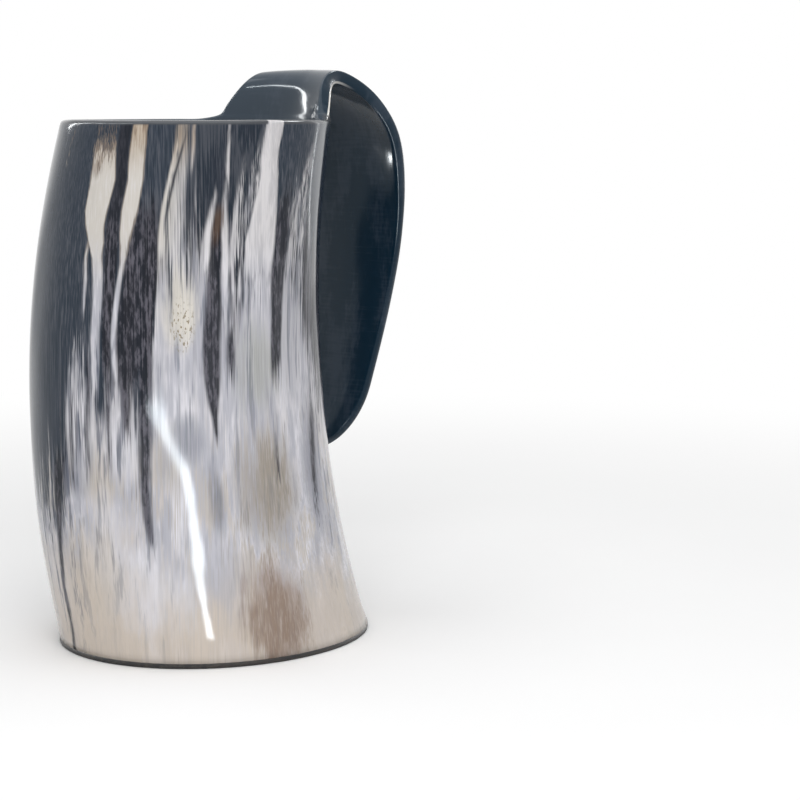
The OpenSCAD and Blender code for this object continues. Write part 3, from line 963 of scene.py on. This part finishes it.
def add_camera():
    data = bpy.data.cameras.new("camera")
    data.sensor_width = SENSOR
    data.lens = SENSOR * FOCAL_PIXELS / IMAGE_PIXELS
    data.clip_start = 10 * MM
    camera = bpy.data.objects.new("camera", data)
    bpy.context.scene.collection.objects.link(camera)
    pan = view_point(math.cos(CAMERA_PAN), math.sin(CAMERA_PAN), 0)
    look = pan * math.cos(CAMERA_PITCH) - Vector((0, 0, math.sin(CAMERA_PITCH)))
    turn = look.to_track_quat("-Z", "Y").to_matrix().to_4x4()
    camera.matrix_world = Matrix.Translation(view_point(-CAMERA_BACK, 0, CAMERA_HEIGHT)) @ turn
    bpy.context.scene.camera = camera


def add_lamp(name, place, target, size, power, diffuse=True, glossy=True):
    data = bpy.data.lights.new(name, "AREA")
    data.shape = "RECTANGLE"
    data.size, data.size_y = size
    data.energy = power
    lamp = bpy.data.objects.new(name, data)
    bpy.context.scene.collection.objects.link(lamp)
    turn = (target - place).to_track_quat("-Z", "Y").to_matrix().to_4x4()
    lamp.matrix_world = Matrix.Translation(place) @ turn
    lamp.visible_camera = False
    lamp.visible_diffuse = diffuse
    lamp.visible_glossy = glossy
    return lamp


def add_strip(name, first, last, target, width, radiance, beam):
    """Narrow lamp from one point to another that shows in gloss only."""
    middle = (first + last) / 2
    length = (last - first).length
    power = radiance * math.pi * length * width
    lamp = add_lamp(name, middle, target, (length, width), power, diffuse=False)
    lamp.data.spread = beam
    along = (last - first).normalized()
    back = (middle - target).normalized()
    back = (back - along * back.dot(along)).normalized()
    side = back.cross(along)
    turn = Matrix((along, side, back)).transposed().to_4x4()
    lamp.matrix_world = Matrix.Translation(middle) @ turn


WIDE_BEAM = math.pi
NARROW_BEAM = 7 * DEGREE

# Level of the surround as a light, which is white where it is seen straight or mirrored, and the power of
# each of the two soft lamps in watts
WORLD_LEVEL = 0.42
SOFT_POWER = 9.5

# Ribbon of light low in front of the foot: points ahead of the origin and to the right of it, with widths
RIBBON_HEIGHT = 3 * MM
RIBBON_RADIANCE = 42.0
RIBBON = (
    (-0.060, 0.001, 0.0026), (-0.090, 0.007, 0.005), (-0.121, 0.013, 0.009), (-0.221, 0.034, 0.024),
    (-0.300, 0.039, 0.034), (-0.390, 0.004, 0.044), (-0.480, -0.031, 0.055), (-0.600, -0.074, 0.080),
    (-0.760, -0.131, 0.19),
)


def add_light():
    world = bpy.data.worlds.new("studio")
    world.use_nodes = True
    world.node_tree.nodes.clear()
    g = Graph(world.node_tree)
    colour = g.blend(seen_directly(g), grey(WORLD_LEVEL), grey(1.0))
    sky = g.add("ShaderNodeBackground", None, {"Color": colour, "Strength": 1.0})
    g.add("ShaderNodeOutputWorld", None, {"Surface": sky})
    bpy.context.scene.world = world
    middle = Vector((0, 0, 90 * MM))
    crest = Vector((33 * MM, 0, 170 * MM))
    rim = view_point(-0.02, 0.03, 0.16)
    palm = view_point(0.029, 0.0575, 0.1463)
    add_lamp("overhead", view_point(-0.1, 0.0, 1.3), middle, (1.2, 1.2), SOFT_POWER)
    add_lamp("fill", view_point(-1.2, 0.05, 0.8), middle, (0.9, 0.9), SOFT_POWER, glossy=False)

    # Strips and cards: the place they face, both ends, width, radiance and beam
    for name, target, first, last, width, radiance, beam in (
        ("side_strip", crest, (-0.2, -0.62, 1.0), (0.78, -0.86, 0.42), 0.032, 39.0, WIDE_BEAM),
        ("right_card", middle, (0.55, 0.95, 0.35), (1.2, 0.45, 0.35), 0.7, 0.8, WIDE_BEAM),
        ("right_strip", middle, (0.66, 0.88, 0.05), (0.66, 0.88, 0.75), 0.02, 16.0, WIDE_BEAM),
        ("rim_card", rim, (0.34, 0.64, 0.85), (0.50, 0.48, 0.85), 0.14, 42.0, WIDE_BEAM),
        ("palm_strip", palm, (0.0601, -0.0534, 0.1129), (0.0517, -0.0576, 0.1197), 0.0025, 0.42,
         NARROW_BEAM),
    ):
        add_strip(name, view_point(*first), view_point(*last), target, width, radiance, beam)
    for k, (first, last) in enumerate(zip(RIBBON, RIBBON[1:])):
        start = view_point(*first[:2], RIBBON_HEIGHT)
        finish = view_point(*last[:2], RIBBON_HEIGHT)
        above = (start + finish) / 2 + Vector((0, 0, 1))
        width = (first[2] + last[2]) / 2
        add_strip("ribbon_%d" % k, start, finish, above, width, RIBBON_RADIANCE, WIDE_BEAM)


COAT_STEPS = 24
BEAD_STEPS = 6
EDGE_STEPS = 4


def quarter_turn(steps):
    return [k * math.pi / 2 / steps for k in range(steps + 1)]


def coat_piece():
    """Lacquer over floor, bead and wall: its rings go up its outer face and down its inner one."""
    floor_z = SIZES.foot_height + PLUG_HEIGHT
    bead_top = floor_z + BEAD
    coat_top = SIZES.rim_height - COAT_GAP
    turns = quarter_turn(BEAD_STEPS)

    def wall_ring(z, depth=0.0):
        return z, wall_thickness(SIZES, z) + depth, z

    def bead_ring(turn, depth):
        z = floor_z + BEAD * (1 - math.sin(turn))
        own = wall_thickness(SIZES, z) + BEAD * (1 - math.cos(turn)) + depth
        return z + depth * math.sin(turn), own, z

    wall_steps = [bead_top + (coat_top - bead_top) * k / COAT_STEPS for k in range(1, COAT_STEPS + 1)]
    rings = [bead_ring(turn, 0.0) for turn in reversed(turns)]
    rings += [wall_ring(z) for z in wall_steps]
    rings += [wall_ring(z, COAT) for z in reversed(wall_steps)]
    rings += [bead_ring(turn, COAT) for turn in turns]
    return ring_piece("inside_coat", rings, coat_material())


def base_piece():
    """Base: a foot with an eased edge under the horn, and the plug inside it."""
    foot = SIZES.foot_height
    floor_z = foot + PLUG_HEIGHT
    seat_z = foot + PLUG_HEIGHT / 2
    plug_depth = wall_thickness(SIZES, seat_z) + GLUE
    rings = [
        (FOOT_EDGE * (1 - math.sin(turn)), FOOT_EDGE * (1 - math.cos(turn)), foot)
        for turn in reversed(quarter_turn(EDGE_STEPS))
    ]
    rings += [(foot, 0.0, foot), (foot, plug_depth, seat_z), (floor_z, plug_depth, seat_z)]
    return ring_piece("base_plate", rings, base_material())


def main():
    horn = made_from_tree("horn_body", horn_tree(horn_material()), HORN)
    coat = coat_piece()
    base = base_piece()
    for piece, node, slot in (
        (horn, "horn_shell", "horn"), (coat, "inner_coat", "coat"), (base, "base_disc", "base"),
    ):
        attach(piece, "root")
        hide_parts(node)
    for node, material in (("glue_ring", glue_material()), ("seal_bead", bead_material())):
        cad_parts[node].material_slots[0].material = material

    floor_piece()
    add_camera()
    add_light()
    bpy.context.scene.view_settings.view_transform = "Standard"


main()
